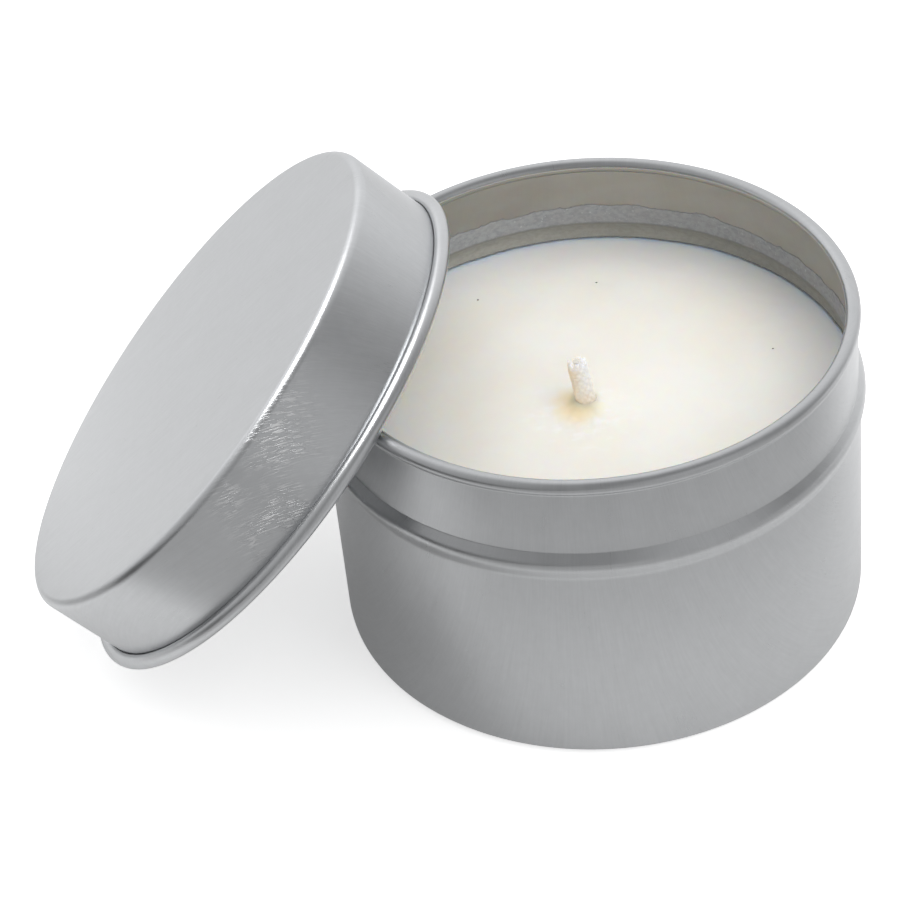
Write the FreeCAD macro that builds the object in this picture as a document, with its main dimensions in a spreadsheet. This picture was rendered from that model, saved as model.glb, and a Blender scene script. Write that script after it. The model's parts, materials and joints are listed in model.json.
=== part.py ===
import FreeCAD, Part
import math
import os
import Sketcher
from FreeCAD import Placement, Rotation, Vector

# Candle tin: a drawn tinplate tin with a poured candle, and its slip lid leaning on the rim.
# Frame: millimetres, +Z up, origin at the centre of the tin's base. The lid leans towards -X.

SIZES = {
    # tin
    "sheet": 0.25,            # tinplate thickness
    "body_radius": 37.95,     # outer radius of the straight wall
    "base_corner": 1.6,       # outer radius of the drawn corner at the base
    "neck_radius": 37.6,      # outer radius between the bead and the rim
    "rim_height": 48.8,       # top of the rolled rim
    "rim_radius": 37.95,      # outer radius of the rolled rim
    "rim_roll": 1.05,         # radius of the roll's own section
    "bead_radius": 38.65,     # crest of the bead that stops the lid
    "bead_height": 35.1,      # height of that crest
    "bead_crest": 1.4,        # section radius at the crest
    "bead_below": 1.35,       # crest down to the straight wall
    "bead_above": 1.9,        # crest up to the neck
    # lid
    "lid_radius": 38.6,       # outer radius of the skirt
    "lid_depth": 15.1,        # panel top down to the bottom of the curl
    "lid_corner": 1.3,        # outer radius of the panel's corner
    "curl_radius": 40.5,      # outer radius of the curl
    "curl_gap": 0.08,         # raw edge of the curl to the skirt
    "lid_lean": 45.5,         # angle between the lid's axis and the vertical, in degrees
    "lid_offset": 46.11,      # tin's axis to the centre of the lid's mouth
    # candle
    "clearance": 0.02,        # gap between pieces that touch
    "wax_level": 33.7,        # top of the wax at the wall
    "wax_dish": 0.5,          # how far the wax drops towards the wick
    "wax_slope": 9.0,         # radius of that dished area
    "hole_overrun": 1.0,      # how far past the wax's top the wick's hole is cut
    "film_top": 40.5,         # top of the wax film on the inner wall
    "film_thickness": 0.12,   # wax film on the inner wall
    "wick_radius": 1.5,
    "wick_exposed": 6.3,      # straight length beyond the bend
    "wick_lean": 8.0,         # lean of the exposed end towards -X, in degrees
    "wick_bend": 6.0,         # radius of the bend just above the wax
    "wick_east": -0.6,        # where the wick stands
    "wick_north": -1.3,
    "core_radius": 0.5,       # stiffening core inside the braid
    "sticker_radius": 10.0,   # adhesive pad under the sustainer
    "sticker_thickness": 0.8,
    "tab_radius": 10.0,       # sustainer disc
    "tab_neck_radius": 1.95,  # outside of the sustainer's neck
    "tab_neck_height": 6.0,
    "tab_fillet": 0.5,        # where the neck meets the disc
}


class Size:
    """A length that carries its number and the sheet expression it comes from."""

    def __init__(self, text, value):
        self.text = text
        self.value = value

    def _join(self, sign, other, value):
        other_text = other.text if isinstance(other, Size) else repr(other)
        return Size("(%s %s %s)" % (self.text, sign, other_text), value)

    def __add__(self, other):
        return self._join("+", other, self.value + number(other))

    def __sub__(self, other):
        return self._join("-", other, self.value - number(other))

    def __mul__(self, other):
        return self._join("*", other, self.value * number(other))

    def __truediv__(self, other):
        return self._join("/", other, self.value / number(other))


def number(size):
    return size.value if isinstance(size, Size) else float(size)


def sine(degrees):
    return Size("sin(%s * 1 deg)" % degrees.text, math.sin(math.radians(degrees.value)))


def cosine(degrees):
    return Size("cos(%s * 1 deg)" % degrees.text, math.cos(math.radians(degrees.value)))


def leg(hypotenuse, other_leg):
    """The remaining side of a right-angled triangle."""
    square = hypotenuse * hypotenuse - other_leg * other_leg
    return Size("sqrt(%s)" % square.text, math.sqrt(square.value))


def make_sheet(doc):
    sheet = doc.addObject("Spreadsheet::Sheet", "Sizes")
    for row, (alias, value) in enumerate(SIZES.items(), start=1):
        sheet.set("A%d" % row, alias)
        sheet.set("B%d" % row, str(value))
        sheet.setAlias("B%d" % row, alias)
    doc.recompute()
    return {alias: Size("Sizes." + alias, value) for alias, value in SIZES.items()}


def origin_feature(body, role):
    return next(feature for feature in body.Origin.OriginFeatures if feature.Role == role)


def new_body(doc, name):
    body = doc.addObject("PartDesign::Body", name)
    body.Label = name
    return body


def new_sketch(body, name, role):
    sketch = body.newObject("Sketcher::SketchObject", name)
    sketch.AttachmentSupport = [(origin_feature(body, role), "")]
    sketch.MapMode = "FlatFace"
    return sketch


def bind(sketch, constraint, size):
    index = sketch.addConstraint(constraint)
    sketch.setExpression("Constraints[%d]" % index, size.text)


def place_point(sketch, curve, end, point):
    """Fix a curve's end at (across, up) from the sketch origin; 0 means on that axis."""
    across, up = point
    if isinstance(across, Size):
        bind(sketch, Sketcher.Constraint("DistanceX", -1, 1, curve, end, across.value), across)
    else:
        sketch.addConstraint(Sketcher.Constraint("PointOnObject", curve, end, -2))
    if isinstance(up, Size):
        bind(sketch, Sketcher.Constraint("DistanceY", -1, 1, curve, end, up.value), up)
    else:
        sketch.addConstraint(Sketcher.Constraint("PointOnObject", curve, end, -1))


def arc_curve(start, finish, radius, left_turn, long_way):
    """Arc from start to finish; left_turn runs anticlockwise, long_way is over half a circle."""
    chord = finish - start
    middle = (start + finish) * 0.5
    normal = Vector(-chord.y, chord.x, 0) / chord.Length
    rise = math.sqrt(max(radius ** 2 - (chord.Length / 2) ** 2, 0.0))
    side = 1 if left_turn != long_way else -1
    centre = middle + normal * rise * side
    first = math.atan2(start.y - centre.y, start.x - centre.x)
    last = math.atan2(finish.y - centre.y, finish.x - centre.x)
    if not left_turn:
        first, last = last, first
    circle = Part.Circle(centre, Vector(0, 0, 1), radius)
    return Part.ArcOfCircle(circle, first, last)


def draw_outline(sketch, steps, closed=True):
    """Draw a chain from steps: (across, up) alone is a corner reached by a straight line;
    (across, up, radius, turn) is reached by an arc, turn being left, right, left_long
    or right_long. The first step is where the chain starts."""
    points = [Vector(number(step[0]), number(step[1]), 0) for step in steps]
    legs = list(zip(range(len(steps) - 1), range(1, len(steps))))
    if closed:
        legs.append((len(steps) - 1, 0))
    chain = []
    for begin, finish in legs:
        step = steps[finish]
        is_arc = len(step) == 4 and finish != 0
        if is_arc:
            left_turn = step[3].startswith("left")
            curve = arc_curve(points[begin], points[finish], step[2].value,
                              left_turn, step[3].endswith("long"))
            entry, leave = (1, 2) if left_turn else (2, 1)
        else:
            curve = Part.LineSegment(points[begin], points[finish])
            entry, leave = 1, 2
        index = sketch.addGeometry(curve, False)
        if chain:
            sketch.addConstraint(Sketcher.Constraint("Coincident", chain[-1][0], chain[-1][2],
                                                     index, entry))
        chain.append((index, entry, leave))
        place_point(sketch, index, entry, steps[begin][:2])
        if is_arc:
            bind(sketch, Sketcher.Constraint("Radius", index, step[2].value), step[2])
    last_index, _, last_leave = chain[-1]
    if closed:
        sketch.addConstraint(Sketcher.Constraint("Coincident", last_index, last_leave,
                                                 chain[0][0], chain[0][1]))
    else:
        place_point(sketch, last_index, last_leave, steps[-1][:2])


def revolve(body, name, steps):
    sketch = new_sketch(body, name + "_outline", "XZ_Plane")
    draw_outline(sketch, steps)
    turned = body.newObject("PartDesign::Revolution", name + "_turned")
    turned.Profile = sketch
    turned.ReferenceAxis = (sketch, ["V_Axis"])
    turned.Angle = 360.0
    body.Tip = turned
    return turned


def bead_steps(size, inset, upwards):
    """The bead's flanks and rounded crest, moved in from the outer surface by inset."""
    crest_half = size["bead_crest"] * 0.5
    crest_drop = size["bead_crest"] - leg(size["bead_crest"], crest_half)
    crest_edge = size["bead_radius"] - crest_drop - inset
    wall = (size["body_radius"] - inset, size["bead_height"] - size["bead_below"])
    low = (crest_edge, size["bead_height"] - crest_half)
    high = (crest_edge, size["bead_height"] + crest_half)
    neck = (size["neck_radius"] - inset, size["bead_height"] + size["bead_above"])
    if upwards:
        return [wall, low, high + (size["bead_crest"], "left"), neck]
    return [neck, high, low + (size["bead_crest"], "right"), wall]


def make_tin_body(doc, size):
    """One drawn sheet: base, wall, bead, neck and a rim rolled inwards."""
    sheet = size["sheet"]
    roll = size["rim_roll"]
    roll_inside = roll - sheet
    roll_centre = size["rim_radius"] - roll
    roll_height = size["rim_height"] - roll
    neck_in = size["neck_radius"] - sheet
    outer_join = roll_height - leg(roll, size["neck_radius"] - roll_centre)
    inner_join = roll_height - leg(roll_inside, neck_in - roll_centre)
    half = math.sqrt(0.5)
    none = Size("0", 0.0)
    steps = [(0, 0), (size["body_radius"] - size["base_corner"], 0)]
    steps.append((size["body_radius"], size["base_corner"], size["base_corner"], "left"))
    steps += bead_steps(size, none, True)
    steps.append((size["neck_radius"], outer_join))
    steps.append((roll_centre - roll * half, roll_height - roll * half, roll, "left_long"))
    steps.append((roll_centre - roll_inside * half, roll_height - roll_inside * half))
    steps.append((neck_in, inner_join, roll_inside, "right_long"))
    steps += bead_steps(size, sheet, False)
    corner_inside = size["base_corner"] - sheet
    steps.append((size["body_radius"] - sheet, size["base_corner"]))
    steps.append((size["body_radius"] - size["base_corner"], sheet, corner_inside, "right"))
    steps.append((0, sheet))
    body = new_body(doc, "tin_body")
    revolve(body, "tin_body", steps)
    return body


def lid_pose(size):
    """The lid's mouth centre and turn, with its curl on the table and just off the rim."""
    lean = math.radians(size["lid_lean"].value)
    curl = (size["curl_radius"] - (size["lid_radius"] - size["sheet"])).value / 2
    curl_centre = size["curl_radius"].value - curl
    height = curl_centre * math.sin(lean) + curl * (1 - math.cos(lean))
    return Placement(Vector(-size["lid_offset"].value, 0, height),
                     Rotation(Vector(0, 1, 0), -size["lid_lean"].value))


def make_lid(doc, size):
    """One drawn sheet: flat panel, skirt, and an edge curled outwards and back to the skirt."""
    sheet = size["sheet"]
    skirt_in = size["lid_radius"] - sheet
    curl = (size["curl_radius"] - skirt_in) / 2
    curl_inside = curl - sheet
    curl_centre = size["curl_radius"] - curl
    reach = curl_centre - size["lid_radius"] - size["curl_gap"]
    reach_inside = reach * curl_inside / curl
    corner = size["lid_corner"]
    top = size["lid_depth"]
    none = Size("0", 0.0)
    steps = [
        (0, top),
        (0, top - sheet),
        (skirt_in - (corner - sheet), top - sheet),
        (skirt_in, top - corner, corner - sheet, "right"),
        (skirt_in, curl),
        (curl_centre - reach, curl + leg(curl, reach), curl, "left_long"),
        (curl_centre - reach_inside, curl + leg(curl_inside, reach_inside)),
        (size["lid_radius"], curl, curl_inside, "right_long"),
        (size["lid_radius"], top - corner),
        (size["lid_radius"] - corner, top, corner, "left"),
    ]
    body = new_body(doc, "lid")
    revolve(body, "lid", steps)
    body.Placement = lid_pose(size)
    return body


def wick_place(size):
    return Placement(Vector(size["wick_east"].value, size["wick_north"].value, 0), Rotation())


def sticker_top(size):
    return size["sheet"] + size["clearance"] + size["sticker_thickness"]


def tab_foot(size):
    return sticker_top(size) + size["clearance"]


def bore(body, name, size, radius, height):
    """Cut a round hole on the wick's line, from the base plane up to height."""
    before = body.Shape.Volume
    sketch = new_sketch(body, name + "_circle", "XY_Plane")
    centre = Vector(size["wick_east"].value, size["wick_north"].value, 0)
    circle = sketch.addGeometry(Part.Circle(centre, Vector(0, 0, 1), radius.value), False)
    place_point(sketch, circle, 3, (size["wick_east"], size["wick_north"]))
    bind(sketch, Sketcher.Constraint("Radius", circle, radius.value), radius)
    pocket = body.newObject("PartDesign::Pocket", name)
    pocket.Profile = sketch
    pocket.Reversed = True
    pocket.Length = height.value
    pocket.setExpression("Length", height.text)
    body.Tip = pocket
    body.Document.recompute()
    if body.Shape.Volume >= before:
        raise RuntimeError(name + " cut nothing")


def make_wax_fill(doc, size):
    """The poured wax: it follows the tin's inside and dishes slightly round the wick."""
    gap = size["clearance"]
    wall = size["body_radius"] - size["sheet"] - gap
    corner_centre = size["body_radius"] - size["base_corner"]
    corner = size["base_corner"] - size["sheet"] - gap
    steps = [
        (0, size["sheet"] + gap),
        (corner_centre, size["sheet"] + gap),
        (wall, size["base_corner"], corner, "left"),
        (wall, size["wax_level"]),
        (size["wax_slope"], size["wax_level"]),
        (0, size["wax_level"] - size["wax_dish"]),
    ]
    body = new_body(doc, "wax_fill")
    revolve(body, "wax_fill", steps)
    doc.recompute()
    bore(body, "tab_pocket", size, size["tab_radius"] + gap, tab_foot(size) + size["sheet"] + gap)
    bore(body, "neck_pocket", size, size["tab_neck_radius"] + gap + size["tab_fillet"],
         tab_foot(size) + size["tab_neck_height"] + gap)
    bore(body, "wick_hole", size, size["wick_radius"] + gap,
         size["wax_level"] + size["hole_overrun"])
    return body


def make_wax_film(doc, size):
    """Wax left on the inner wall, from the fill up over the inside of the bead."""
    outside = size["sheet"] + size["clearance"]
    inside = outside + size["film_thickness"]
    steps = bead_steps(size, outside, True)
    steps.append((size["neck_radius"] - outside, size["film_top"]))
    steps.append((size["neck_radius"] - inside, size["film_top"]))
    steps += bead_steps(size, inside, False)
    body = new_body(doc, "wax_film")
    revolve(body, "wax_film", steps)
    return body


def wick_path(body, size):
    """Straight up through the wax, a short bend above it, then a lean towards -X."""
    start = size["wax_level"] + size["clearance"]
    bend = size["wick_bend"]
    across = bend * cosine(size["wick_lean"]) - bend
    up = start + bend * sine(size["wick_lean"])
    tip_across = across - size["wick_exposed"] * sine(size["wick_lean"])
    tip_up = up + size["wick_exposed"] * cosine(size["wick_lean"])
    path = new_sketch(body, body.Label + "_path", "XZ_Plane")
    steps = [(0, tab_foot(size)), (0, start), (across, up, bend, "left"), (tip_across, tip_up)]
    draw_outline(path, steps, closed=False)
    return path


def make_wick_part(doc, name, size, radii):
    """A round section with the given radii, swept along the wick's path."""
    body = new_body(doc, name)
    section = new_sketch(body, name + "_section", "XY_Plane")
    section.AttachmentOffset = Placement(Vector(0, 0, tab_foot(size).value), Rotation())
    section.setExpression("AttachmentOffset.Base.z", tab_foot(size).text)
    for radius in radii:
        ring = section.addGeometry(Part.Circle(Vector(), Vector(0, 0, 1), radius.value), False)
        section.addConstraint(Sketcher.Constraint("Coincident", ring, 3, -1, 1))
        bind(section, Sketcher.Constraint("Radius", ring, radius.value), radius)
    path = wick_path(body, size)
    doc.recompute()
    pipe = body.newObject("PartDesign::AdditivePipe", name + "_pipe")
    pipe.Profile = section
    pipe.Spine = (path, ["Edge1", "Edge2", "Edge3"])
    body.Tip = pipe
    body.Placement = wick_place(size)
    return body


def make_wick_sustainer(doc, size):
    """Pressed steel disc with a neck crimped round the foot of the wick."""
    foot = tab_foot(size)
    bore_radius = size["wick_radius"] + size["clearance"]
    fillet = size["tab_fillet"]
    disc_top = foot + size["sheet"]
    neck = size["tab_neck_radius"]
    neck_top = foot + size["tab_neck_height"]
    steps = [
        (bore_radius, foot),
        (size["tab_radius"], foot),
        (size["tab_radius"], disc_top),
        (neck + fillet, disc_top),
        (neck, disc_top + fillet, fillet, "right"),
        (neck, neck_top),
        (bore_radius, neck_top),
    ]
    body = new_body(doc, "wick_sustainer")
    revolve(body, "wick_sustainer", steps)
    body.Placement = wick_place(size)
    return body


def make_wick_sticker(doc, size):
    """Round adhesive pad under the sustainer."""
    pad = doc.addObject("Part::Cylinder", "wick_sticker")
    pad.Label = "wick_sticker"
    pad.setExpression("Radius", size["sticker_radius"].text)
    pad.setExpression("Height", size["sticker_thickness"].text)
    foot = size["sheet"] + size["clearance"]
    pad.Placement = Placement(Vector(size["wick_east"].value, size["wick_north"].value, foot.value),
                              Rotation())
    return pad


def check_document(doc, parts):
    for item in doc.Objects:
        if "Invalid" in item.State or "Error" in item.State:
            raise RuntimeError("%s failed: %s" % (item.Name, item.State))
    for part in parts:
        if part.Shape.isNull() or not part.Shape.isValid() or len(part.Shape.Solids) != 1:
            raise RuntimeError(part.Label + " is not one valid solid")


def main():
    doc = FreeCAD.newDocument("candle_tin")
    size = make_sheet(doc)
    parts = [
        make_tin_body(doc, size),
        make_lid(doc, size),
        make_wax_fill(doc, size),
        make_wax_film(doc, size),
        make_wick_part(doc, "wick_braid", size,
                       [size["wick_radius"], size["core_radius"] + size["clearance"]]),
        make_wick_part(doc, "wick_core", size, [size["core_radius"]]),
        make_wick_sustainer(doc, size),
        make_wick_sticker(doc, size),
    ]
    doc.recompute()
    check_document(doc, parts)
    os.makedirs("parts", exist_ok=True)
    for part in parts:
        part.Shape.exportStep("parts/%s.step" % part.Label)
        box = part.Shape.BoundBox
        print("%-16s %9.2f mm3  x %.2f..%.2f  y %.2f..%.2f  z %.2f..%.2f"
              % (part.Label, part.Shape.Volume, box.XMin, box.XMax,
                 box.YMin, box.YMax, box.ZMin, box.ZMax))


main()
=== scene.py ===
import json
import math
import random

import bmesh
import bpy
import numpy as np
from mathutils import Matrix, Quaternion, Vector, noise


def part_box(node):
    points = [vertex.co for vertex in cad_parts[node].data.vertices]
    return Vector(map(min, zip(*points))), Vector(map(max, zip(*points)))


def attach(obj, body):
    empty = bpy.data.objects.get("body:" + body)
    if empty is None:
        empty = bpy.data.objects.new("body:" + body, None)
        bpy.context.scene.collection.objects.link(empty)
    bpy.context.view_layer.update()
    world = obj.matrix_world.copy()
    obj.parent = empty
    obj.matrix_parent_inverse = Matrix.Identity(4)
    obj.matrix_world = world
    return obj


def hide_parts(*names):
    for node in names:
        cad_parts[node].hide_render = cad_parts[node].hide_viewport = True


# Candle tin: drawn tin, leaning slip lid, poured wax, film of wax on the wall and a braided wick.
# Blender works in metres; the sizes below are in millimetres and go through MM.

MM = 0.001
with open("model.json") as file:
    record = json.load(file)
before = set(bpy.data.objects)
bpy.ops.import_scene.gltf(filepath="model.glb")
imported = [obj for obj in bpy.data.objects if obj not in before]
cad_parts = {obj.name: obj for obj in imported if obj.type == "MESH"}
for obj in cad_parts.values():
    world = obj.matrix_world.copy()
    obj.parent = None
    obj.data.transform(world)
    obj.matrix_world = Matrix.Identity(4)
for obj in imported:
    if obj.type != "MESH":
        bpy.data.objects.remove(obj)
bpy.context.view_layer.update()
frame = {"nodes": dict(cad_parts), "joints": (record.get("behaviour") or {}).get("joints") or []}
joint = next(j for j in frame["joints"] if j["name"] == "lid_swing")

TURN = 2 * math.pi
SEGMENTS = 320

# Driving sizes that the boxes of the CAD nodes give.
TIN_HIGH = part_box("tin_body")[1] / MM
LID_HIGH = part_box("lid")[1] / MM
BRAID_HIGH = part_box("wick_braid")[1] / MM
WAX_LOW, WAX_HIGH = (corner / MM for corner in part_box("wax_fill"))
FILM_LOW, FILM_HIGH = (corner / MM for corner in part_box("wax_film"))
TAB_LOW, TAB_HIGH = (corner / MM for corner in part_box("wick_sustainer"))
PAD_LOW, PAD_HIGH = (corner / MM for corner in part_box("wick_sticker"))

SHEET = 0.25
CLEARANCE = 0.02            # between pieces that touch on the real object

# The tin's profile.
BEAD_STANDS = 0.7           # bead beyond the wall
NECK_STEP = 0.35            # neck inside the wall
BEAD_RADIUS = TIN_HIGH.x
BODY_RADIUS = BEAD_RADIUS - BEAD_STANDS
NECK_RADIUS = BODY_RADIUS - NECK_STEP
RIM_HEIGHT = TIN_HIGH.z
RIM_ROLL = 1.05
RIM_RADIUS = NECK_RADIUS + NECK_STEP
BASE_CORNER = 1.6
BEAD_HEIGHT = 35.1
BEAD_APEX = 0.19            # how far the flanks would meet beyond the rounded crest
BEAD_CREST = 2.0
BEAD_BELOW = 2.3
BEAD_ABOVE = 1.9
BEAD_FOOT_FILLET = 2.5
BEAD_NECK_FILLET = 0.35

# The lid's profile and place.
CURL_RADIUS = LID_HIGH.y
CURL_STANDS = 1.9           # curl beyond the skirt
LID_RADIUS = CURL_RADIUS - CURL_STANDS
LID_DEPTH = 15.1
LID_CORNER = 1.3
CURL_GAP = 0.08
LID_LEAN = joint["range_deg"][1]
LID_PARKED = 0.6            # the curl's height over the rim once the lid has swung level

# Wax and wick.
WAX_LEVEL = WAX_HIGH.z
WAX_OVER_BEAD = 0.32        # how far the wax's top edge reaches into the bead
DISH_DEPTH, DISH_RADIUS = 0.5, 9.0
LIP_HEIGHT, LIP_REACH = 1.0, 0.9
WICK_AT = Vector(((TAB_LOW.x + TAB_HIGH.x) / 2, (TAB_LOW.y + TAB_HIGH.y) / 2, 0))
WICK_RADIUS = 1.5
WICK_LEAN = math.radians(8.0)
WICK_BEND = 6.0
WICK_EXPOSED = 6.3
TAB_RADIUS = TAB_HIGH.x - WICK_AT.x
TAB_NECK = 1.95
TAB_NECK_ROOM = 2.47        # radius that the poured wax leaves round the tab's neck
PAD_RADIUS = PAD_HIGH.x - WICK_AT.x

# Soot flecks on the wax: place and size.
FLECKS = ((-17.7, 23.0, 0.17), (-0.3, 26.6, 0.15), (25.7, 9.7, 0.14))

# Short crinkle marks with painted glints on the lid's skirt: places along the grain,
# measured from the lid's middle.
MARKS_BEGIN, MARKS_FULL, MARKS_FADE, MARKS_END = 12, 21, 25, 36

# Camera: degrees, metres, and millimetres for the aim and the lens.
CAMERA_AZIMUTH, CAMERA_ELEVATION, CAMERA_ROLL = 5.12, 41.85, -6.51
CAMERA_DISTANCE = 0.44195
CAMERA_AIM = Vector((-20.9, 0, 23.92))
CAMERA_LENS = 118.6

# Surroundings: even light, and patches as azimuth, elevation, the angles from the patch's middle
# where it starts and stops fading, and the light it adds.
SKY = 0.34
SKY_PATCHES = (
    (-170, 15, 30, 95, 0.66),
    (45, 14, 8, 34, 0.26),
    (-90, 30, 20, 70, 0.20),
)

# The floor's reflectance and glow: as the camera sees it, and as the metal mirrors it.
FLOOR_SEEN, GLOW_SEEN = 0.80, 0.62
FLOOR_MIRRORED, GLOW_MIRRORED = 0.65, 0.30


# ---------------------------------------------------------------- outlines

def arc(centre, radius, first, last, steps):
    """Points (radius from the axis, height) on an arc, both ends included; angles in degrees."""
    angles = [math.radians(first + (last - first) * i / steps) for i in range(steps + 1)]
    return [(centre[0] + radius * math.cos(t), centre[1] + radius * math.sin(t)) for t in angles]


def rounded(corners, steps=6):
    """A chain of corners (across, up, fillet radius) with each corner rounded."""
    points = []
    last = len(corners) - 1
    for i, (across, up, fillet) in enumerate(corners):
        if fillet == 0 or i in (0, last):
            points.append((across, up))
            continue
        here = Vector((across, up))
        back = (Vector(corners[i - 1][:2]) - here).normalized()
        ahead = (Vector(corners[i + 1][:2]) - here).normalized()
        half = back.angle(ahead) / 2
        reach = fillet / math.tan(half)
        begin = here + back * reach
        finish = here + ahead * reach
        middle = here + (back + ahead).normalized() * (fillet / math.sin(half))
        first = begin - middle
        sweep = first.angle_signed(finish - middle)
        for step in range(steps + 1):
            spoke = first.copy()
            spoke.rotate(Matrix.Rotation(-sweep * step / steps, 2))
            points.append(tuple(middle + spoke))
    return points


def spaced(points, longest):
    """The same chain with long straight legs cut into pieces no longer than longest."""
    result = [points[0]]
    for (r0, z0), (r1, z1) in zip(points, points[1:]):
        pieces = max(1, math.ceil(math.hypot(r1 - r0, z1 - z0) / longest))
        result += [(r0 + (r1 - r0) * i / pieces, z0 + (z1 - z0) * i / pieces)
                   for i in range(1, pieces + 1)]
    return result


def bead_corners(inset):
    """Wall, bead and neck from below to above, moved in from the outer face by inset."""
    return [
        (BODY_RADIUS - inset, BEAD_HEIGHT - BEAD_BELOW, BEAD_FOOT_FILLET),
        (BEAD_RADIUS + BEAD_APEX - inset, BEAD_HEIGHT, BEAD_CREST),
        (NECK_RADIUS - inset, BEAD_HEIGHT + BEAD_ABOVE, BEAD_NECK_FILLET),
    ]


def tin_outline():
    """Outside from the base's centre to the rim's raw edge, then the inside back to the centre."""
    centre = (RIM_RADIUS - RIM_ROLL, RIM_HEIGHT - RIM_ROLL)
    outer_join = -math.degrees(math.acos((NECK_RADIUS - centre[0]) / RIM_ROLL))
    inner_roll = RIM_ROLL - SHEET
    inner_join = -math.degrees(math.acos((NECK_RADIUS - SHEET - centre[0]) / inner_roll))
    raw_edge = 225
    outside = rounded([(0, 0, 0), (BODY_RADIUS, 0, BASE_CORNER)] + bead_corners(0)
                      + [(NECK_RADIUS, centre[1] - RIM_ROLL, 0)])
    outside += arc(centre, RIM_ROLL, outer_join, raw_edge, 40)
    inside = [(0, SHEET, 0), (BODY_RADIUS - SHEET, SHEET, BASE_CORNER - SHEET)]
    inside += bead_corners(SHEET) + [(NECK_RADIUS - SHEET, centre[1] - RIM_ROLL, 0)]
    inside = rounded(inside) + arc(centre, inner_roll, inner_join, raw_edge, 24)
    return spaced(outside, 3.0) + spaced(inside, 3.0)[::-1]


def lid_outline():
    """Panel top, skirt and curl outside, then the inside back; height from the curl's bottom."""
    skirt_in = LID_RADIUS - SHEET
    curl = (CURL_RADIUS - skirt_in) / 2
    centre = (CURL_RADIUS - curl, curl)
    raw_edge = 180 - math.degrees(math.acos((centre[0] - LID_RADIUS - CURL_GAP) / curl))
    outside = rounded([(0, LID_DEPTH, 0), (LID_RADIUS, LID_DEPTH, LID_CORNER),
                       (LID_RADIUS, curl, 0)], 12)
    outside += arc(centre, curl - SHEET, 180, 360 + raw_edge, 26)[1:]
    inside = rounded([(0, LID_DEPTH - SHEET, 0), (skirt_in, LID_DEPTH - SHEET, LID_CORNER - SHEET),
                      (skirt_in, curl, 0)])
    inside += arc(centre, curl, 180, 360 + raw_edge, 40)[1:]
    return spaced(outside, 2.5) + spaced(inside, 2.5)[::-1]


# ---------------------------------------------------------------- meshes

def new_piece(name, vertices, faces, materials, uv=None):
    """A smooth shaded mesh object from vertices in millimetres."""
    mesh = bpy.data.meshes.new(name)
    mesh.from_pydata((np.asarray(vertices) * MM).tolist(), [], faces)
    if uv is not None:
        layer = mesh.uv_layers.new(name="grain")
        index = np.empty(len(mesh.loops), dtype=np.int32)
        mesh.loops.foreach_get("vertex_index", index)
        layer.data.foreach_set("uv", np.asarray(uv)[index].ravel())
    work = bmesh.new()
    work.from_mesh(mesh)
    bmesh.ops.recalc_face_normals(work, faces=work.faces)
    work.to_mesh(mesh)
    work.free()
    mesh.shade_smooth()
    for material in materials:
        mesh.materials.append(material)
    piece = bpy.data.objects.new(name, mesh)
    bpy.context.scene.collection.objects.link(piece)
    return piece


def ring_faces(rings, closed):
    """Quads between neighbouring rings of vertex numbers; a ring of one vertex is a pole."""
    pairs = list(zip(rings, rings[1:]))
    if closed:
        pairs.append((rings[-1], rings[0]))
    faces = []
    for low, high in pairs:
        count = max(len(low), len(high))
        for i in range(count):
            j = (i + 1) % count
            if len(low) == 1:
                faces.append((low[0], high[i], high[j]))
            elif len(high) == 1:
                faces.append((low[i], low[j], high[0]))
            else:
                faces.append((low[i], low[j], high[j], high[i]))
    return faces


def lathe(name, outline, materials, grain=0.0, closed=False, shape=None, segments=SEGMENTS):
    """Turn an outline round the Z axis. shape(r, z, angle, index) may move each point.
    The UV map is the flat sheet before it was drawn: v runs along the rolled grain."""
    legs = [math.dist(p, q) for p, q in zip(outline, outline[1:])]
    length = np.concatenate([[0], np.cumsum(legs)])
    flat = np.minimum(length, length[-1] - length)
    vertices, uv, rings = [], [], []
    for index, (r, z) in enumerate(outline):
        count = 1 if r < 1e-6 else segments
        rings.append(list(range(len(vertices), len(vertices) + count)))
        for i in range(count):
            angle = TURN * i / segments
            point = (r * math.cos(angle), r * math.sin(angle), z)
            if shape:
                point = shape(r, z, angle, index)
            vertices.append(point)
            turned = angle - grain
            uv.append((flat[index] * math.sin(turned), flat[index] * math.cos(turned)))
    return new_piece(name, vertices, ring_faces(rings, closed), materials, np.asarray(uv) * MM)


def wobble(seed, x, y, z=0.0):
    """Smooth noise, about -1 to 1."""
    return noise.noise(Vector((x + seed * 17.3, y + seed * 7.1, z + seed * 3.7)))


def round_wobble(seed, angle, waves, z=0.0):
    """Noise along a circle that closes on itself, with about that many waves round it."""
    radius = waves / TURN
    return wobble(seed, radius * math.cos(angle), radius * math.sin(angle), z)


# ---------------------------------------------------------------- node graphs

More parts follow.
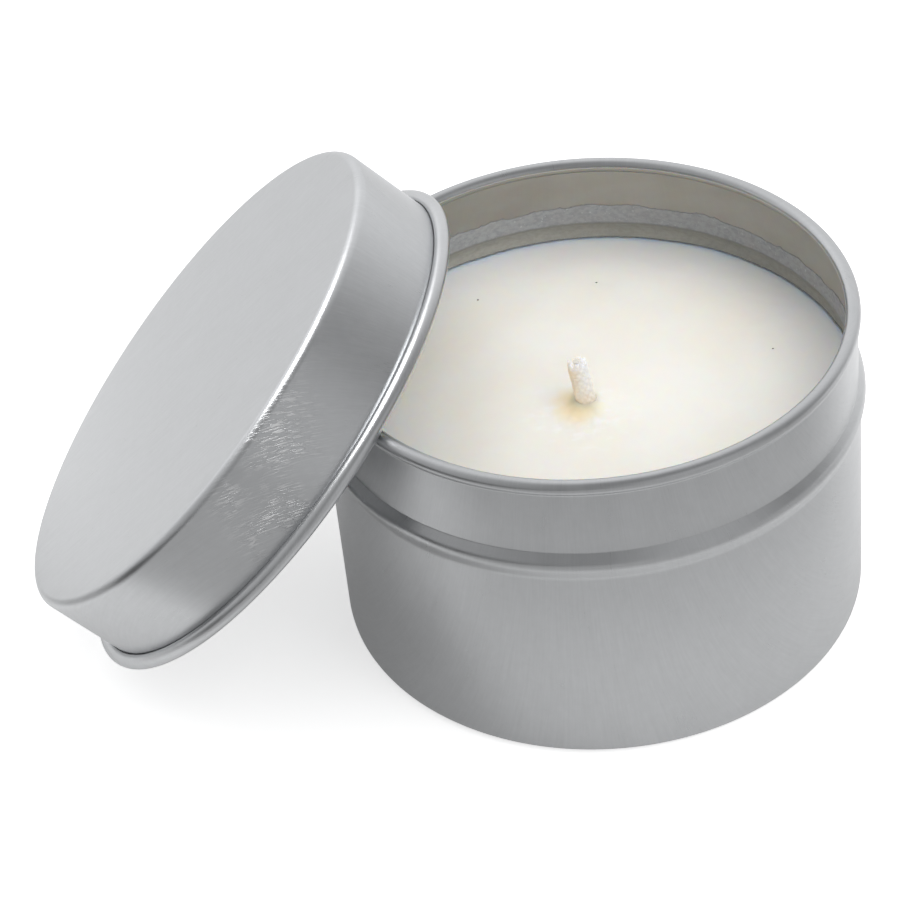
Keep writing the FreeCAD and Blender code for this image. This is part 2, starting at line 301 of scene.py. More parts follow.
class Graph:
    """Short names for the shader nodes that the materials use."""

    def __init__(self, tree):
        self.tree = tree
        tree.nodes.clear()

    def node(self, kind, settings=None, **inputs):
        made = self.tree.nodes.new(kind)
        for name, value in (settings or {}).items():
            setattr(made, name, value)
        for name, value in inputs.items():
            self.plug(made.inputs[name.replace("_", " ")], value)
        return made

    def plug(self, socket, value):
        if isinstance(value, bpy.types.NodeSocket):
            self.tree.links.new(value, socket)
        elif value is not None:
            socket.default_value = value

    def maths(self, operation, *values):
        made = self.tree.nodes.new("ShaderNodeMath")
        made.operation = operation
        for socket, value in zip(made.inputs, values):
            self.plug(socket, value)
        return made.outputs[0]

    def vector(self, operation, *values):
        made = self.tree.nodes.new("ShaderNodeVectorMath")
        made.operation = operation
        for socket, value in zip(made.inputs, values):
            self.plug(socket, value)
        return made.outputs["Value" if operation in ("DOT_PRODUCT", "LENGTH") else "Vector"]

    def span(self, value, low, high, out_low=0.0, out_high=1.0, smooth=True):
        """value from low..high onto out_low..out_high, held at the ends."""
        kind = "SMOOTHSTEP" if smooth else "LINEAR"
        made = self.node("ShaderNodeMapRange", {"interpolation_type": kind}, Value=value)
        for name, number in (("From Min", low), ("From Max", high),
                             ("To Min", out_low), ("To Max", out_high)):
            made.inputs[name].default_value = number
        return made.outputs[0]

    def mix(self, factor, first, second):
        made = self.node("ShaderNodeMix", {"data_type": "RGBA"})
        self.plug(made.inputs[0], factor)
        self.plug(made.inputs[6], first)
        self.plug(made.inputs[7], second)
        return made.outputs[2]

    def noise(self, place, size, detail=2.0, roughness=0.5):
        """Noise about 0..1 with features of size millimetres: one number, or one per axis."""
        if isinstance(size, (int, float)):
            size = (size, size, size)
        scaled = self.vector("MULTIPLY", place, tuple(1 / (s * MM) for s in size))
        made = self.node("ShaderNodeTexNoise", Vector=scaled, Scale=1.0, Detail=detail,
                         Roughness=roughness)
        return made.outputs[0]

    def bump(self, height, depth, normal=None):
        """Bump of depth millimetres for height 0..1."""
        made = self.node("ShaderNodeBump", Height=height, Distance=depth * MM, Strength=1.0)
        if normal is not None:
            self.plug(made.inputs["Normal"], normal)
        return made.outputs[0]


def new_material(name):
    material = bpy.data.materials.new(name)
    material.use_nodes = True
    return material, Graph(material.node_tree)


def finish_material(graph, **inputs):
    shader = graph.node("ShaderNodeBsdfPrincipled")
    for name, value in inputs.items():
        graph.plug(shader.inputs[name.replace("_", " ")], value)
    graph.node("ShaderNodeOutputMaterial", Surface=shader.outputs[0])


def grey(level, warm=0.0):
    return (level * (1 + warm), level, level * (1 - warm), 1)


def tinplate(name, tone, streak_depth, haze_and_wax_reflection=0.0, stretched=None):
    """Matt rolled tinplate. Streaks follow the flat sheet's grain; haze dulls it with a painted
    warm wax reflection.
    Outside the flat radius stretched, as far as the curl, the sheet shows short crinkles with
    painted glints."""
    material, g = new_material(name)
    sheet = g.node("ShaderNodeUVMap", {"uv_map": "grain"}).outputs[0]
    fine = g.noise(sheet, (0.11, 2.6, 1), 3, 0.6)
    medium = g.noise(sheet, (0.45, 9.0, 1), 2, 0.5)
    broad = g.noise(sheet, (6.0, 11.0, 1), 3, 0.55)
    place = g.node("ShaderNodeTexCoord").outputs["Object"]
    mottle = g.noise(place, 1.3, 3, 0.6)
    nick = g.span(g.noise(sheet, (0.16, 1.1, 1), 1, 0.4), 0.80, 0.86)
    streaks = g.maths("MULTIPLY_ADD", medium, 0.5, g.maths("MULTIPLY", fine, 0.5))
    shade = g.maths("ADD", streaks, g.maths("MULTIPLY", broad, 0.6))
    shade = g.maths("MULTIPLY_ADD", mottle, 0.35, shade)
    colour = g.mix(g.span(shade, 0.5, 1.5), grey(tone * 0.92, -0.015), grey(tone * 1.06, -0.015))
    colour = g.mix(g.maths("MULTIPLY", nick, 0.5), colour, grey(tone * 0.5))
    rough = g.span(g.maths("ADD", fine, broad), 0.6, 1.4, 0.27, 0.36)
    rough = g.maths("MULTIPLY_ADD", nick, 0.15, rough)
    bump = g.bump(fine, streak_depth)
    bump = g.bump(medium, streak_depth * 0.8, bump)
    bump = g.bump(mottle, 0.0016, bump)
    bump = g.bump(broad, 0.010, bump)
    if stretched:
        across = g.vector("LENGTH", sheet)
        drawn = g.span(across, stretched * MM, (stretched + 3) * MM)
        drawn = g.maths("MULTIPLY", drawn,
                        g.span(across, (stretched + 12) * MM, (stretched + 14) * MM, 1.0, 0.0))
        dash_and_glint = g.span(g.noise(sheet, (0.22, 2.2, 1), 2.0, 0.5), 0.49, 0.60)
        along = g.node("ShaderNodeSeparateXYZ", Vector=sheet).outputs[1]
        patch = g.span(g.noise(sheet, (7.0, 9.0, 1), 2, 0.5), 0.36, 0.58)
        patch = g.maths("MULTIPLY", patch, g.span(along, MARKS_BEGIN * MM, MARKS_FULL * MM))
        patch = g.maths("MULTIPLY", patch,
                        g.span(along, MARKS_FADE * MM, MARKS_END * MM, 1.0, 0.05))
        dash_and_glint = g.maths("MULTIPLY", dash_and_glint, g.maths("MULTIPLY", drawn, patch))
        # Painted glints: the marks' colour is brightened; their bump is the crinkle.
        colour = g.mix(g.maths("MULTIPLY", dash_and_glint, 0.85), colour, grey(min(1, tone * 1.6)))
        bump = g.bump(dash_and_glint, 0.055, bump)
    tangent = g.node("ShaderNodeTangent", {"direction_type": "UV_MAP", "uv_map": "grain"})
    # Haze: rougher, with a warm tint that is painted reflection of the wax.
    if haze_and_wax_reflection:
        veil_and_wax_reflection = g.span(g.noise(place, (7.0, 7.0, 3.0), 4, 0.6), 0.3, 0.7, haze_and_wax_reflection * 0.7, haze_and_wax_reflection)
        colour = g.mix(veil_and_wax_reflection, colour, (0.36, 0.335, 0.285, 1))
        rough = g.maths("ADD", rough, g.maths("MULTIPLY", veil_and_wax_reflection, 0.25))
    finish_material(g, Base_Color=colour, Metallic=1.0, Roughness=rough, Anisotropic=0.45,
                    Tangent=tangent.outputs[0], Normal=bump)
    return material


def wax_material():
    """Ivory wax: satin, faintly mottled, stained yellow round the wick and paler at the wall."""
    material, g = new_material("wax")
    place = g.node("ShaderNodeTexCoord").outputs["Object"]
    cloud = g.noise(place, 14.0, 3, 0.5)
    patch = g.noise(place, (2.4, 1.6, 2.0), 4, 0.6)
    speckle = g.noise(place, 0.35, 2, 0.6)
    colour = g.mix(g.span(cloud, 0.35, 0.65), (0.875, 0.845, 0.775, 1), (0.885, 0.87, 0.82, 1))
    flat = g.vector("MULTIPLY", place, (1, 1, 0))
    radius = g.vector("LENGTH", flat)
    rough_radius = g.maths("MULTIPLY_ADD", g.maths("SUBTRACT", patch, 0.5), 5 * MM, radius)
    edge = g.span(rough_radius, 26 * MM, 37 * MM)
    colour = g.mix(g.maths("MULTIPLY", edge, 0.55), colour, (0.86, 0.86, 0.87, 1))
    wick = g.vector("SUBTRACT", flat, tuple(WICK_AT * MM))
    front = g.vector("SUBTRACT", wick, (-0.5 * MM, -3.5 * MM, 0))
    pale = g.span(g.vector("LENGTH", front), 3 * MM, 11 * MM, 1.0, 0.0)
    pale = g.maths("MULTIPLY", pale, g.span(patch, 0.5, 0.68, 0.0, 0.6))
    colour = g.mix(pale, colour, (0.93, 0.925, 0.91, 1))
    lean = g.vector("SUBTRACT", wick, (-1.1 * MM, -0.9 * MM, 0))
    reach = g.vector("LENGTH", g.vector("MULTIPLY", lean, (1, 0.8, 1)))
    reach = g.maths("MULTIPLY_ADD", g.maths("SUBTRACT", patch, 0.5), 1.6 * MM, reach)
    stain = g.span(reach, 1.2 * MM, 4.6 * MM, 1.0, 0.0)
    colour = g.mix(g.maths("MULTIPLY", stain, 0.8), colour, (0.93, 0.76, 0.47, 1))
    rough = g.span(g.maths("ADD", cloud, patch), 0.7, 1.3, 0.38, 0.52)
    bump = g.bump(cloud, 0.12)
    bump = g.bump(patch, 0.018, bump)
    bump = g.bump(speckle, 0.004, bump)
    finish_material(g, Base_Color=colour, Roughness=rough, Normal=bump, Subsurface_Weight=1.0,
                    Subsurface_Radius=(1.0, 0.75, 0.5), Subsurface_Scale=2.2 * MM,
                    Specular_IOR_Level=0.4, IOR=1.43)
    return material


def film_material():
    """Thin wax film on the wall: mottled grey, warmer below; painted shade darkens the bead's
    crease.
    """
    material, g = new_material("wax_film")
    place = g.node("ShaderNodeTexCoord").outputs["Object"]
    height = g.node("ShaderNodeSeparateXYZ", Vector=place).outputs[2]
    mottle = g.noise(place, (0.9, 0.9, 0.6), 4, 0.65)
    cloud = g.noise(place, (5.0, 5.0, 2.5), 3, 0.5)
    crease_height = BEAD_HEIGHT + 1.8
    above = g.span(height, (crease_height - 0.3) * MM, (crease_height + 0.3) * MM)
    grainy = g.mix(g.span(mottle, 0.38, 0.62), (0.365, 0.375, 0.385, 1), (0.415, 0.425, 0.435, 1))
    grainy = g.mix(g.span(cloud, 0.4, 0.6, 0.0, 0.5), grainy, (0.42, 0.42, 0.42, 1))
    smooth = g.mix(cloud, (0.45, 0.445, 0.40, 1), (0.51, 0.50, 0.455, 1))
    fleck = g.span(g.noise(place, 0.4, 1, 0.5), 0.68, 0.76, 0.0, 0.6)
    grainy = g.mix(fleck, grainy, (0.72, 0.73, 0.75, 1))
    colour = g.mix(above, smooth, grainy)
    # Painted shade: a dark, more opaque line along the bead's crease.
    crease_shade = g.maths("ABSOLUTE", g.maths("SUBTRACT", height, crease_height * MM))
    crease_shade = g.span(crease_shade, 0.0, 0.45 * MM, 0.55, 0.0)
    colour = g.mix(crease_shade, colour, (0.20, 0.195, 0.175, 1))
    cover = g.maths("MULTIPLY_ADD", above, 0.10, g.span(mottle, 0.3, 0.65, 0.58, 0.68))
    cover = g.maths("MAXIMUM", cover, g.maths("MULTIPLY", crease_shade, 1.5))
    bump = g.bump(mottle, 0.014)
    finish_material(g, Base_Color=colour, Roughness=0.42, Normal=bump, Alpha=cover,
                    Specular_IOR_Level=0.5, IOR=1.43)
    return material


def cotton_material():
    """Waxed cotton: pale cut end, tan towards the wax; left side tan as painted shade; faint
    painted glow.
    """
    material, g = new_material("cotton")
    place = g.node("ShaderNodeTexCoord").outputs["Object"]
    parts = g.node("ShaderNodeSeparateXYZ", Vector=place)
    fibre = g.noise(place, (0.09, 0.09, 0.5), 3, 0.6)
    blotch = g.noise(place, 0.9, 3, 0.6)
    height = g.maths("MULTIPLY_ADD", g.maths("SUBTRACT", blotch, 0.5), 2.4 * MM, parts.outputs[2])
    low = g.span(height, (WAX_LEVEL + 0.2) * MM, (WAX_LEVEL + 5.0) * MM, 0.8, 0.0)
    # Painted shade: the left side of the wick tanned as if in shadow.
    shaded_left = g.span(parts.outputs[0], (WICK_AT.x - 1.9) * MM, (WICK_AT.x + 0.3) * MM, 1.0, 0.0)
    tan = g.maths("MAXIMUM", g.maths("MULTIPLY", low, 0.6), g.maths("MULTIPLY", shaded_left, 0.65))
    colour = g.mix(g.span(fibre, 0.3, 0.7), (0.90, 0.87, 0.80, 1), (0.96, 0.94, 0.89, 1))
    colour = g.mix(tan, colour, (0.90, 0.72, 0.46, 1))
    top = g.span(height, (BRAID_HIGH.z - 1.1) * MM, (BRAID_HIGH.z - 0.2) * MM)
    colour = g.mix(g.maths("MULTIPLY", top, 0.85), colour, (0.95, 0.93, 0.92, 1))
    bump = g.bump(fibre, 0.02)
    # Painted light: a faint glow brightens the cotton.
    finish_material(g, Base_Color=colour, Roughness=0.5, Normal=bump, Subsurface_Weight=1.0,
                    Subsurface_Radius=(1.0, 0.8, 0.55), Subsurface_Scale=1.2 * MM,
                    Emission_Color=colour, Emission_Strength=0.14)
    return material


def fibre_material(name, first, second, size, roughness, depth):
    """A plain fibrous or foamy stuff for hidden pieces."""
    material, g = new_material(name)
    place = g.node("ShaderNodeTexCoord").outputs["Object"]
    grain = g.noise(place, size, 4, 0.6)
    colour = g.mix(g.span(grain, 0.3, 0.7), first, second)
    finish_material(g, Base_Color=colour, Roughness=roughness, Normal=g.bump(grain, depth))
    return material


# ---------------------------------------------------------------- pieces

def make_tin():
    """Tin from its sheet profile; faces that look inwards get a darker copy: painted shade inside
    the tin.
    """
    outside = tinplate("tinplate", 0.55, 0.0045)
    # Darker copy of the tinplate for the inside: painted shade; its haze tint is painted wax
    # reflection.
    inside = tinplate("tinplate_inside_painted_shade", 0.42, 0.0030, haze_and_wax_reflection=0.6)
    outline = tin_outline()
    tin = lathe("tin_shell", outline, [outside, inside], grain=math.radians(-90))
    for face in tin.data.polygons:
        around = [tin.data.vertices[v].co for v in face.vertices]
        middle = sum(around, Vector()) / len(around)
        inward = face.normal.dot(Vector((middle.x, middle.y, 0)).normalized()) < -0.2
        floor_face = face.normal.z > 0.8 and middle.z < 2 * MM
        if (inward and middle.z < (RIM_HEIGHT - RIM_ROLL) * MM) or floor_face:
            face.material_index = 1
    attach(tin, "tin")
    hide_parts("tin_body")


def lid_pose():
    """The lid's rest place: swung back by its lean from level and centred over the rim."""
    pivot = Matrix.Translation(joint["pos_m"])
    level = Matrix.Translation((0, 0, (RIM_HEIGHT + LID_PARKED) * MM))
    swing = Matrix.Rotation(math.radians(-LID_LEAN), 4, Vector(joint["axis"]))
    return pivot @ swing @ pivot.inverted() @ level


def make_lid():
    """Lid from its sheet profile, set leaning on the tin."""
    sheet = tinplate("lid_tinplate", 0.62, 0.0060, stretched=LID_RADIUS - 1)
    lid = lathe("lid_shell", lid_outline(), [sheet], grain=math.radians(-5))
    lid.data.transform(lid_pose())
    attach(lid, "lid")
    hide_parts("lid")
    return lid


def wax_height(x, y):
    """Top of the wax in millimetres: dished towards the wick, with a lip climbing it."""
    away = math.hypot(x - WICK_AT.x, y - WICK_AT.y)
    dish = -DISH_DEPTH * max(0.0, 1 - away / DISH_RADIUS) ** 1.5
    lip = LIP_HEIGHT * math.exp(-(away - WICK_RADIUS) / LIP_REACH)
    ripple = 0.10 * wobble(2, x / 9, y / 9) + 0.035 * wobble(3, x / 2.2, y / 2.2)
    near = math.exp(-((x - WICK_AT.x) ** 2 + (y - WICK_AT.y + 3) ** 2) / 30)
    lumps = 0.16 * near * wobble(4, x / 1.1, y / 1.1)
    return WAX_LEVEL + dish + lip + ripple + lumps - 0.05


def make_wax():
    """Wax round the wick and its tab, with a ragged edge at the wall."""
    wall = WAX_HIGH.x
    corner = BASE_CORNER - SHEET - CLEARANCE
    edge = wall + WAX_OVER_BEAD
    hole = WICK_RADIUS + CLEARANCE
    tab_room = TAB_RADIUS + CLEARANCE
    tab_top = TAB_HIGH.z + CLEARANCE
    disc_top = TAB_LOW.z + 0.3
    # (radius, height, share of the tin's axis; 0 is the wick's axis)
    path = [(tab_room, WAX_LOW.z, 0)]
    path += [(r, WAX_LOW.z, 1) for r in (20, 30)]
    path += [(r, z, 1) for r, z in arc((wall - corner, WAX_LOW.z + corner), corner, -90, 0, 6)]
    path += [(wall, z, 1) for z in (8, 16, 24, WAX_LEVEL - 1.2, WAX_LEVEL - 0.6)]
    top_start = len(path)
    rings = 120
    reach = [1 - (i / rings) for i in range(rings + 1)]
    path += [(hole + (edge - WICK_RADIUS) * t ** 1.15, WAX_LEVEL, t) for t in reach]
    top_end = len(path)
    path += [(hole, z, 0) for z in (24, 16, tab_top)]
    path += [(TAB_NECK_ROOM, tab_top, 0), (TAB_NECK_ROOM, disc_top, 0), (tab_room, disc_top, 0)]

    def shape(r, z, angle, index):
        weight = path[index][2]
        x = WICK_AT.x * (1 - weight) + r * math.cos(angle)
        y = WICK_AT.y * (1 - weight) + r * math.sin(angle)
        if top_start <= index < top_end:
            ragged = 0.16 * round_wobble(5, angle, 60) + 0.22 * round_wobble(6, angle, 260)
            pull = max(0.0, (weight - 0.96) / 0.04)
            shrink = 1 - pull * max(0.0, ragged) / r
            x, y = x * shrink, y * shrink
            z = wax_height(x, y) + 0.28 * pull ** 2 - 0.25 * pull * max(0.0, ragged)
        return (x, y, z)

    wax = lathe("wax_pour", [p[:2] for p in path], [wax_material()], closed=True, shape=shape,
                segments=720)
    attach(wax, "tin")
    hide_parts("wax_fill")
    return wax


def make_film():
    """Film on the inner wall with a ragged upper edge, thinning out upwards."""
    inset = SHEET + CLEARANCE
    low = FILM_LOW.z
    across = spaced(rounded([(BODY_RADIUS - inset, low - 1.0, 0)] + bead_corners(inset)
                            + [(NECK_RADIUS - inset, FILM_HIGH.z + 2, 0)], 5), 0.35)
    heights = [z for _, z in across]
    radii = [r for r, _ in across]
    rows = 26

    def top(angle):
        level = FILM_HIGH.z - 0.75 + 0.55 * round_wobble(11, angle, 14)
        level += 0.42 * round_wobble(12, angle, 70) + 0.6 * abs(round_wobble(13, angle, 300))
        return min(level, FILM_HIGH.z)

    def wall(z):
        return float(np.interp(z, heights, radii))

    def shape(r, z, angle, index):
        share = (index if index <= rows else 2 * rows + 1 - index) / rows
        height = low + (top(angle) - low) * share
        radius = wall(height)
        if index > rows:
            lumps = 0.5 + 0.5 * round_wobble(14, angle, 120, height / 1.2)
            radius -= 0.03 + 0.09 * (1 - share ** 4) * lumps
        return (radius * math.cos(angle), radius * math.sin(angle), height)

    flat = [(BODY_RADIUS - 1, low)] * (2 * rows + 2)
    film = lathe("wax_film_shell", flat, [film_material()], closed=True, shape=shape, segments=720)
    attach(film, "tin")
    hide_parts("wax_film")
    return film


def wick_frame(along):
    """Centre and turn of the wick at a distance along it, in millimetres from its foot."""
    foot = TAB_LOW.z
    straight = WAX_LEVEL + CLEARANCE - foot
    if along <= straight:
        return WICK_AT + Vector((0, 0, foot + along)), 0.0
    turned = min((along - straight) / WICK_BEND, WICK_LEAN)
    x = -WICK_BEND * (1 - math.cos(turned))
    z = WICK_BEND * math.sin(turned)
    beyond = along - straight - WICK_BEND * turned
    x -= beyond * math.sin(turned)
    z += beyond * math.cos(turned)
    return WICK_AT + Vector((x, 0, foot + straight + z)), turned


def wick_point(along, x, y):
    """A point of the wick at a distance along it and x, y from its middle."""
    centre, lean = wick_frame(along)
    return centre + Vector((x * math.cos(lean), y, x * math.sin(lean)))


def tube(path, across, outwards, wide, thick, sides, vertices, faces):
    """Add a closed yarn: an ellipse carried along path; across and outwards are its axes."""
    rings = []
    for point, side, out, w, t in zip(path, across, outwards, wide, thick):
        rings.append(list(range(len(vertices), len(vertices) + sides)))
        for i in range(sides):
            angle = TURN * i / sides
            vertices.append(point + side * (w * math.cos(angle)) + out * (t * math.sin(angle)))
    for end, ring in ((path[0], rings[0]), (path[-1], rings[-1])):
        vertices.append(end)
        hub = [len(vertices) - 1]
        faces += ring_faces([hub, ring], False)
    faces += ring_faces(rings, False)


def make_braid():
    """Sixteen flat yarns, eight each way, crossing over and under round a straight filling."""
    random.seed(5)
    straight = WAX_LEVEL + CLEARANCE - TAB_LOW.z
    length = straight + WICK_BEND * WICK_LEAN + WICK_EXPOSED
    yarns = 8
    pace = 0.62                 # turn of a yarn per millimetre of wick, in radians
    steps = 150
    vertices, faces = [], []
    for family in (1, -1):
        for k in range(yarns):
            stop = length - 0.12 - random.uniform(0, 0.35)
            path, across, outwards, wide, thick = [], [], [], [], []
            for i in range(steps + 1):
                along = stop * i / steps
                angle = family * pace * along + TURN * k / yarns
                over = family * math.cos(yarns * pace * along)
                shape = 0.04 * round_wobble(21, angle, 6, along / 2)
                radius = 1.17 + 0.11 * over + shape
                out = Vector((math.cos(angle), math.sin(angle), 0))
                path.append(wick_point(along, out.x * radius, out.y * radius))
                lean = math.atan(radius * pace) * family
                round_way = Vector((-out.y, out.x, 0))
                across.append(round_way * math.cos(lean) - Vector((0, 0, math.sin(lean))))
                outwards.append(out)
                end = min(1.0, (steps - i + 0.3) / 2.5)
                wide.append((0.47 + 0.04 * over) * (0.6 + 0.4 * end))
                thick.append(0.2 * (0.6 + 0.4 * end))
            tube(path, across, outwards, wide, thick, 10, vertices, faces)
    filling = 9
    for k in range(filling):
        angle = TURN * k / filling
        stop = length - 0.1 - random.uniform(0, 0.3)
        x, y = 0.79 * math.cos(angle), 0.79 * math.sin(angle)
        path = [wick_point(stop * i / 60, x, y) for i in range(61)]
        count = len(path)
        tube(path, [Vector((1, 0, 0))] * count, [Vector((0, 1, 0))] * count,
             [0.27] * count, [0.27] * count, 8, vertices, faces)
    for k in range(34):
        angle = random.uniform(0, TURN)
        radius = random.uniform(0.5, 1.35)
        start = length - random.uniform(0.3, 0.7)
        reach = random.uniform(0.35, 0.85)
        drift = Vector((random.uniform(-0.25, 0.25), random.uniform(-0.25, 0.25), 0))
        base = wick_point(start, radius * math.cos(angle), radius * math.sin(angle))
        tip = wick_point(start + reach, radius * math.cos(angle), radius * math.sin(angle)) + drift
        path = [base.lerp(tip, i / 5) for i in range(6)]
        slim = [0.07 * (1 - 0.6 * i / 5) for i in range(6)]
        tube(path, [Vector((1, 0, 0))] * 6, [Vector((0, 1, 0))] * 6, slim, slim, 6, vertices, faces)
    braid = new_piece("wick_yarns", [tuple(v) for v in vertices], faces, [cotton_material()])
    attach(braid, "tin")
    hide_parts("wick_braid")
    return braid


def make_core():
    """The hidden paper core keeps its CAD shape."""
    core = frame["nodes"]["wick_core"]
    core.data.materials.clear()
    core.data.materials.append(fibre_material("paper", (0.74, 0.70, 0.61, 1),
                                              (0.86, 0.84, 0.78, 1), (0.1, 0.1, 0.6), 0.7, 0.02))


def make_sustainer():
    """Pressed disc with a neck crimped on the wick at four places."""
    foot, top = TAB_LOW.z, TAB_HIGH.z
    inner = WICK_RADIUS + CLEARANCE
    corners = [(inner, foot, 0), (inner + 0.25, foot, 0), (TAB_RADIUS, foot, 0.1),
               (TAB_RADIUS, foot + SHEET, 0.1), (TAB_NECK, foot + SHEET, 0.5), (TAB_NECK, top, 0.1),
               (inner, top, 0.1), (inner, foot + 1, 0)]
    path = spaced(rounded(corners, 5), 0.5)

    def shape(r, z, angle, index):
        if z > foot + 2 and r > inner + 0.2:
            bite = max(0.0, math.cos(4 * angle)) ** 3
            r -= 0.16 * bite * math.sin(math.pi * (z - foot - 2) / 4.2) ** 2
        return (WICK_AT.x + r * math.cos(angle), WICK_AT.y + r * math.sin(angle), z)

    steel = tinplate("sustainer_steel", 0.60, 0.003)
    tab = lathe("wick_tab", path, [steel], closed=True, shape=shape, segments=128)
    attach(tab, "tin")
    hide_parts("wick_sustainer")


def make_pad():
    """Foam pad with soft edges, a little uneven round its cut side."""
    low, high = PAD_LOW.z, PAD_HIGH.z
    soft = 0.12
    corners = [(0, low, 0), (PAD_RADIUS, low, soft), (PAD_RADIUS, high, soft), (0, high, 0)]
    path = rounded(corners, 4)

    def shape(r, z, angle, index):
        if r > PAD_RADIUS - 1:
            r -= 0.06 + 0.06 * round_wobble(31, angle, 50, z)
        return (WICK_AT.x + r * math.cos(angle), WICK_AT.y + r * math.sin(angle), z)

    foam = fibre_material("foam_tape", (0.78, 0.78, 0.75, 1), (0.88, 0.88, 0.86, 1),
                          0.25, 0.75, 0.05)
    pad = lathe("wick_pad", spaced(path, 2.0), [foam], shape=shape, segments=128)
    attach(pad, "tin")
    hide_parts("wick_sticker")


def make_specks():
    """Three flecks of soot lying on the wax."""
    random.seed(9)
    soot = fibre_material("soot", (0.03, 0.028, 0.025, 1), (0.10, 0.09, 0.08, 1), 0.1, 0.8, 0.01)
    vertices, faces = [], []
    for x, y, size in FLECKS:
        centre = Vector((x, y, wax_height(x, y) + size * 0.3))
        rings = []
        for row in range(5):
            tilt = math.pi * row / 4
            count = 1 if row in (0, 4) else 8
            rings.append(list(range(len(vertices), len(vertices) + count)))
            for i in range(count):
                angle = TURN * i / 8
                r = size * random.uniform(0.75, 1.25)
                vertices.append(centre + Vector((r * math.sin(tilt) * math.cos(angle),
                                                 r * 0.7 * math.sin(tilt) * math.sin(angle),
                                                 r * 0.5 * math.cos(tilt))))
        faces += ring_faces(rings, False)
    specks = new_piece("soot_flecks", [tuple(v) for v in vertices], faces, [soot])
    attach(specks, "tin")


# ---------------------------------------------------------------- stage

def mirrored_floor_shade(g, place):
    """Painted shade on the floor, seen only in the metal's mirror: darker ahead of the tin, a
    painted shadow between tin and lid, darker beyond the lid; bright behind."""
    x, y, _ = g.node("ShaderNodeSeparateXYZ", Vector=place).outputs
    away = g.vector("LENGTH", place)
    right_of_lid = g.span(x, -52 * MM, -30 * MM)
    before_lid = g.span(y, -70 * MM, -56 * MM, 1.0, 0.0)
    # Painted shade ahead of the tin, seen only in the metal.
    far = g.maths("MULTIPLY", g.span(away, 40 * MM, 100 * MM),
                  g.maths("MAXIMUM", right_of_lid, before_lid))
    front = g.maths("MULTIPLY_ADD", far, -0.45, 0.97)
    # Painted shadow of the lid on the floor between tin and lid.
    gap_shadow = g.maths("MULTIPLY", g.span(x, -66 * MM, -46 * MM), g.span(x, -30 * MM, 20 * MM, 1.0, 0.0))
    gap_shadow = g.maths("MULTIPLY", gap_shadow, g.span(y, -50 * MM, -34 * MM))
    front = g.maths("MULTIPLY_ADD", gap_shadow, -0.26, front)
    # Painted shade beyond the lid, mirrored as dark lines on the lid's lower corner and curl.
    beyond_lid_shade = g.span(x, -125 * MM, -95 * MM, 1.0, 0.0)
    front = g.maths("MULTIPLY_ADD", beyond_lid_shade, -0.45, front)
    behind = g.span(y, -10 * MM, 60 * MM)
    back = g.span(away, 80 * MM, 200 * MM, 1.2, 0.92)
    return g.maths("ADD", g.maths("MULTIPLY", front, g.maths("SUBTRACT", 1.0, behind)),
                   g.maths("MULTIPLY", behind, back))


def make_floor():
    """Pale floor, white to the camera. From below it is clear, so the underside can be seen."""
    half = 2.0
    mesh = bpy.data.meshes.new("floor")
    z = -0.05 * MM
    mesh.from_pydata([(-half, -half, z), (half, -half, z), (half, half, z), (-half, half, z)], [],
                     [(0, 1, 2, 3)])
    floor = bpy.data.objects.new("floor", mesh)
    bpy.context.scene.collection.objects.link(floor)
    material, g = new_material("pale_floor")
    place = g.node("ShaderNodeTexCoord").outputs["Object"]
    paper = g.span(g.noise(place, 0.8, 3, 0.6), 0.0, 1.0, 0.98, 1.02)
    mirrored = g.maths("MULTIPLY", mirrored_floor_shade(g, place), paper)
    seen = g.node("ShaderNodeLightPath").outputs["Is Camera Ray"]
    unseen = g.maths("SUBTRACT", 1.0, seen)
    tone = g.maths("ADD", g.maths("MULTIPLY", seen, FLOOR_SEEN),
                   g.maths("MULTIPLY", unseen, g.maths("MULTIPLY", mirrored, FLOOR_MIRRORED)))
    colour = g.node("ShaderNodeCombineColor", Red=tone, Green=tone, Blue=tone).outputs[0]
    diffuse = g.node("ShaderNodeBsdfDiffuse", Color=colour)
    glow = g.maths("ADD", g.maths("MULTIPLY", seen, GLOW_SEEN),
                   g.maths("MULTIPLY", unseen, g.maths("MULTIPLY", mirrored, GLOW_MIRRORED)))
    lift = g.node("ShaderNodeEmission", Strength=glow)
    lit = g.node("ShaderNodeAddShader")
    g.plug(lit.inputs[0], diffuse.outputs[0])
    g.plug(lit.inputs[1], lift.outputs[0])
    clear = g.node("ShaderNodeBsdfTransparent")
    below = g.node("ShaderNodeNewGeometry").outputs["Backfacing"]
    either = g.node("ShaderNodeMixShader")
    g.plug(either.inputs[0], below)
    g.plug(either.inputs[1], lit.outputs[0])
    g.plug(either.inputs[2], clear.outputs[0])
    g.node("ShaderNodeOutputMaterial", Surface=either.outputs[0])
    mesh.materials.append(material)


def compass(azimuth, elevation):
    """Unit vector; azimuth 0 is towards the camera's side (-Y), 90 is +X, 180 is behind."""
    a, e = math.radians(azimuth), math.radians(elevation)
    return Vector((math.sin(a) * math.cos(e), -math.cos(a) * math.cos(e), math.sin(e)))


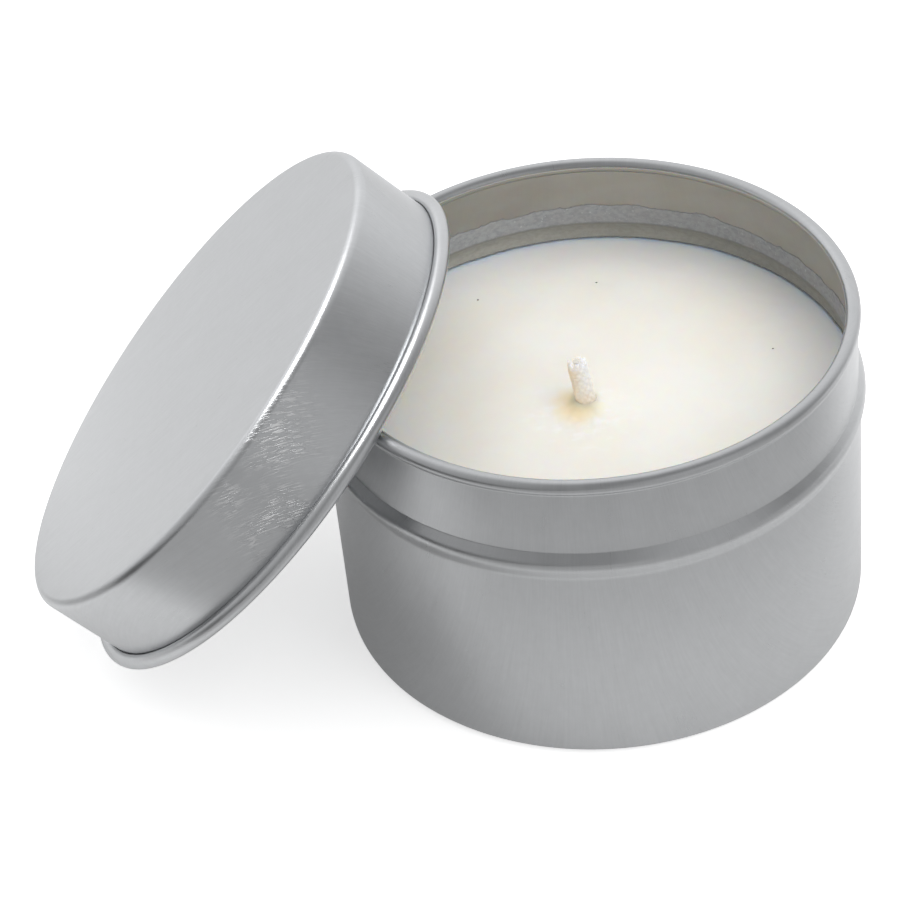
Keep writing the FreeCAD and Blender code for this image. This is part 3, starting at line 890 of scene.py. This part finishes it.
def make_world():
    """Soft surroundings: bright behind, with weaker patches; white to the camera."""
    world = bpy.data.worlds.new("studio")
    bpy.context.scene.world = world
    world.use_nodes = True
    g = Graph(world.node_tree)
    way = g.node("ShaderNodeTexCoord").outputs["Generated"]
    light = SKY
    for azimuth, elevation, inner, outer, level in SKY_PATCHES:
        dot = g.vector("DOT_PRODUCT", way, tuple(compass(azimuth, elevation)))
        blob = g.span(dot, math.cos(math.radians(outer)), math.cos(math.radians(inner)), 0, level)
        light = g.maths("ADD", light, blob)
    seen = g.node("ShaderNodeLightPath").outputs["Is Camera Ray"]
    strength = g.maths("ADD", seen, g.maths("MULTIPLY", g.maths("SUBTRACT", 1.0, seen), light))
    back = g.node("ShaderNodeBackground", Color=(0.985, 0.99, 1.0, 1), Strength=strength)
    g.node("ShaderNodeOutputWorld", Surface=back.outputs[0])


def make_softbox(name, azimuth, elevation, distance, side, radiance, onto=(), mirrored=False):
    """A square softbox at azimuth and elevation in degrees, distance and side in metres.
    It shows as light on matt surfaces, or mirrored in metal; onto limits it to those pieces."""
    light = bpy.data.lights.new(name, "AREA")
    light.shape = "SQUARE"
    light.size = side
    light.energy = radiance * math.pi * side ** 2
    box = bpy.data.objects.new(name, light)
    bpy.context.scene.collection.objects.link(box)
    way = compass(azimuth, elevation)
    box.location = way * distance
    box.rotation_mode = "QUATERNION"
    box.rotation_quaternion = way.to_track_quat("Z", "Y")
    box.visible_camera = False
    box.visible_glossy = mirrored
    box.visible_diffuse = not mirrored
    if onto:
        receivers = bpy.data.collections.new(name + "_receivers")
        for piece in onto:
            receivers.objects.link(piece)
        box.light_linking.receiver_collection = receivers


def make_camera():
    """A long lens from the front, looking down at 42 degrees, with the horizon tipped a little."""
    data = bpy.data.cameras.new("camera")
    data.sensor_width = 36.0
    data.lens = CAMERA_LENS
    data.clip_start = 0.01
    camera = bpy.data.objects.new("camera", data)
    bpy.context.scene.collection.objects.link(camera)
    camera.location = compass(CAMERA_AZIMUTH, CAMERA_ELEVATION) * CAMERA_DISTANCE
    camera.rotation_mode = "QUATERNION"
    level = (CAMERA_AIM * MM - camera.location).to_track_quat("-Z", "Y")
    camera.rotation_quaternion = level @ Quaternion((0, 0, 1), math.radians(CAMERA_ROLL))
    bpy.context.scene.camera = camera


def main():
    make_tin()
    lid = make_lid()
    waxed = [make_wax(), make_film(), make_braid()]
    make_core()
    make_sustainer()
    make_pad()
    make_specks()
    make_floor()
    make_world()
    make_softbox("overhead", 90, 84, 0.9, 1.0, 0.88)
    make_softbox("fill", 70, 42, 0.9, 0.8, 1.5)
    make_softbox("front", 20, 28, 0.9, 0.8, 1.1, waxed)
    make_softbox("edge", -108, 62, 1.0, 0.48, 6.0, [lid], mirrored=True)
    make_camera()
    view = bpy.context.scene.view_settings
    view.view_transform = "Standard"


main()
